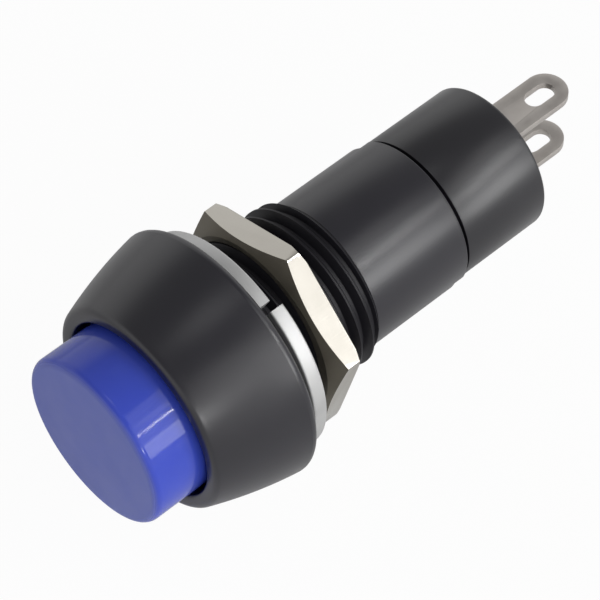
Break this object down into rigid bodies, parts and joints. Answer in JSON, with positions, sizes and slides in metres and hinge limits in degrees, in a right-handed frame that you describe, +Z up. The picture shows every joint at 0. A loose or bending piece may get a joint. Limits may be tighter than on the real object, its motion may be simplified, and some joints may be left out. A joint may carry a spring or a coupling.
{
  "type": "pushbutton switch",
  "caption": "Round panel-mount pushbutton switch with a blue cap in a flared black bezel, threaded neck, hex nut, spring washer and flat solder lugs.",
  "frame": {"origin": "on the switch's axis, in the plane of the bezel's back face, which seats on the front of the panel", "axes": "+Y along the axis from the button to the solder lugs, +Z up, square to the lugs' broad faces"},
  "size_m": [0.018, 0.0404, 0.018],
  "materials": {
    "black_plastic": "satin black moulded plastic",
    "base_plastic": "satin black moulded plastic",
    "blue_plastic": "glossy blue moulded plastic",
    "white_plastic": "natural white moulded plastic",
    "washer_steel": "bright zinc-plated spring steel",
    "nickel": "bright nickel plate on steel",
    "tinned_brass": "dull tin plate on brass",
    "spring_steel": "bright spring steel",
    "contact_brass": "plain rolled brass",
    "silver": "silver contact metal"
  },
  "bodies": {
    "housing": {"barrel": "black_plastic", "terminal_base": "base_plastic", "terminal_upper": "tinned_brass", "terminal_lower": "tinned_brass", "contact_rivet_upper": "silver", "contact_rivet_lower": "silver", "return_spring": "spring_steel"},
    "button": {"button_cap": "blue_plastic", "plunger": "white_plastic", "stem_clip": "spring_steel", "disc_clip": "spring_steel", "contact_spring": "spring_steel"},
    "moving_contact": {"contact_disc": "contact_brass"},
    "washer": {"lock_washer": "washer_steel"},
    "nut": {"hex_nut": "nickel"}
  },
  "joints": [
    {"name": "button_press", "type": "slide", "parent": "housing", "child": "button", "axis": [0, 1, 0], "range_m": [0, 0.003], "stiffness_N_per_m": 450, "springref_m": -0.002, "deforming": ["return_spring"]},
    {"name": "contact_overtravel", "type": "slide", "parent": "button", "child": "moving_contact", "axis": [0, 1, 0], "range_m": [-0.0006, 0], "deforming": ["contact_spring"]},
    {"name": "nut_travel", "type": "slide", "parent": "housing", "child": "washer", "axis": [0, 1, 0], "range_m": [0, 0.003]},
    {"name": "nut_turn", "type": "hinge", "parent": "washer", "child": "nut", "pos_m": [0, 0.0039, 0], "axis": [0, 1, 0], "range_deg": [0, 1080]}
  ],
  "couplings": [
    {"joint": "contact_overtravel", "follows": "button_press", "ratio": -0.2},
    {"joint": "nut_turn", "follows": "nut_travel", "rad_per_m": 6283.2}
  ]
}
